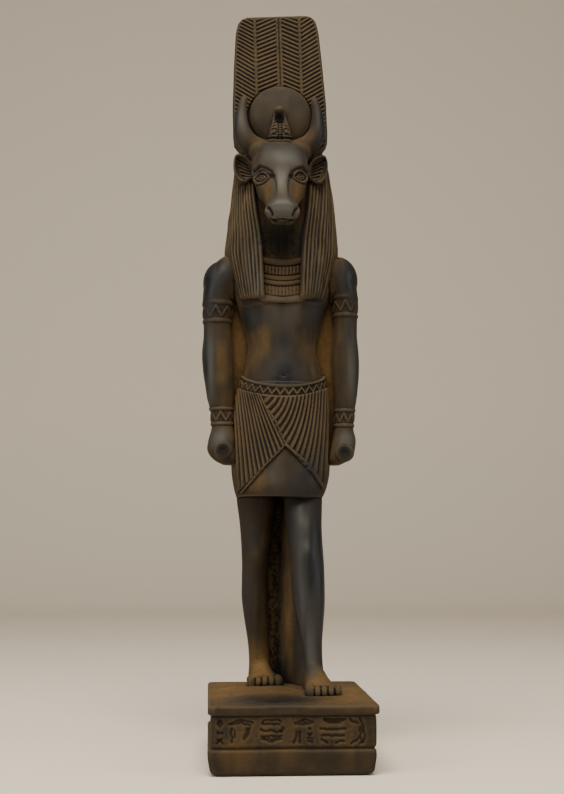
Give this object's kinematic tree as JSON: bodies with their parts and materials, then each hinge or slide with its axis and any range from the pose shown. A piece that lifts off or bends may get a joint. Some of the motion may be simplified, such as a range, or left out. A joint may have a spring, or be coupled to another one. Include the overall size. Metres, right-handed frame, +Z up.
{
  "type": "montu statue",
  "caption": "Dark cast-stone figure of a striding bull-headed deity with disk, cobra and tall plumed crown, on a plinth with a carved band.",
  "frame": {"origin": "centre of the plinth's underside", "axes": "+Z up, the figure faces -Y, +X is the figure's left"},
  "size_m": [0.0854, 0.104, 0.3985],
  "materials": {
    "cast_stone": "moulded, brown dust in the hollows and rubbed to a dull shine on the high places"
  },
  "bodies": {
    "root": {"montu_statue": "cast_stone"}
  },
  "joints": []
}
